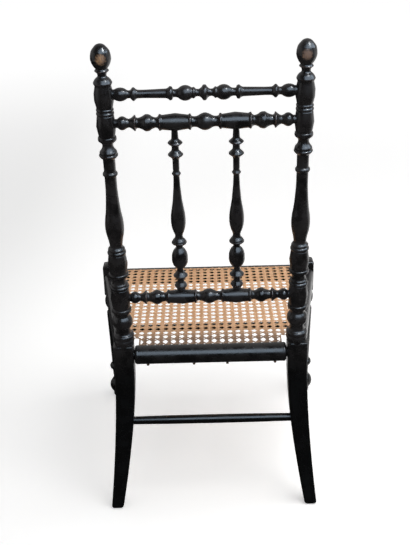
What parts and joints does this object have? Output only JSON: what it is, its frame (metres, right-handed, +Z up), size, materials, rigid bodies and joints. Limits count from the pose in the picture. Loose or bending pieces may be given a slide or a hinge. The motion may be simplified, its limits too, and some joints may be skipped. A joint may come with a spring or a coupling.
{
  "type": "child chair",
  "caption": "Child's side chair with turned black posts, rails and spindles, sabre back legs and a woven cane seat.",
  "frame": {"origin": "middle of the chair's footprint on the floor", "axes": "+Z up, -Y the way the sitter faces, +X the sitter's left"},
  "size_m": [0.3794, 0.353, 0.7],
  "materials": {
    "ebonised_wood": "black lacquer on turned hardwood, worn to brown on the finials",
    "cane": "aged rattan cane, satin",
    "peg_wood": "bare whittled hardwood"
  },
  "bodies": {
    "root": {"left_back_post": "ebonised_wood", "right_back_post": "ebonised_wood", "crest_rail": "ebonised_wood", "upper_back_rail": "ebonised_wood", "lower_back_rail": "ebonised_wood", "left_back_spindle": "ebonised_wood", "right_back_spindle": "ebonised_wood", "rear_seat_rail": "ebonised_wood", "front_seat_rail": "ebonised_wood", "left_seat_rail": "ebonised_wood", "right_seat_rail": "ebonised_wood", "left_front_leg": "ebonised_wood", "right_front_leg": "ebonised_wood", "back_stretcher": "ebonised_wood", "front_stretcher": "ebonised_wood", "left_side_stretcher": "ebonised_wood", "right_side_stretcher": "ebonised_wood", "cane_seat": "cane", "cane_binder": "cane", "cane_pegs": "peg_wood"}
  },
  "joints": []
}
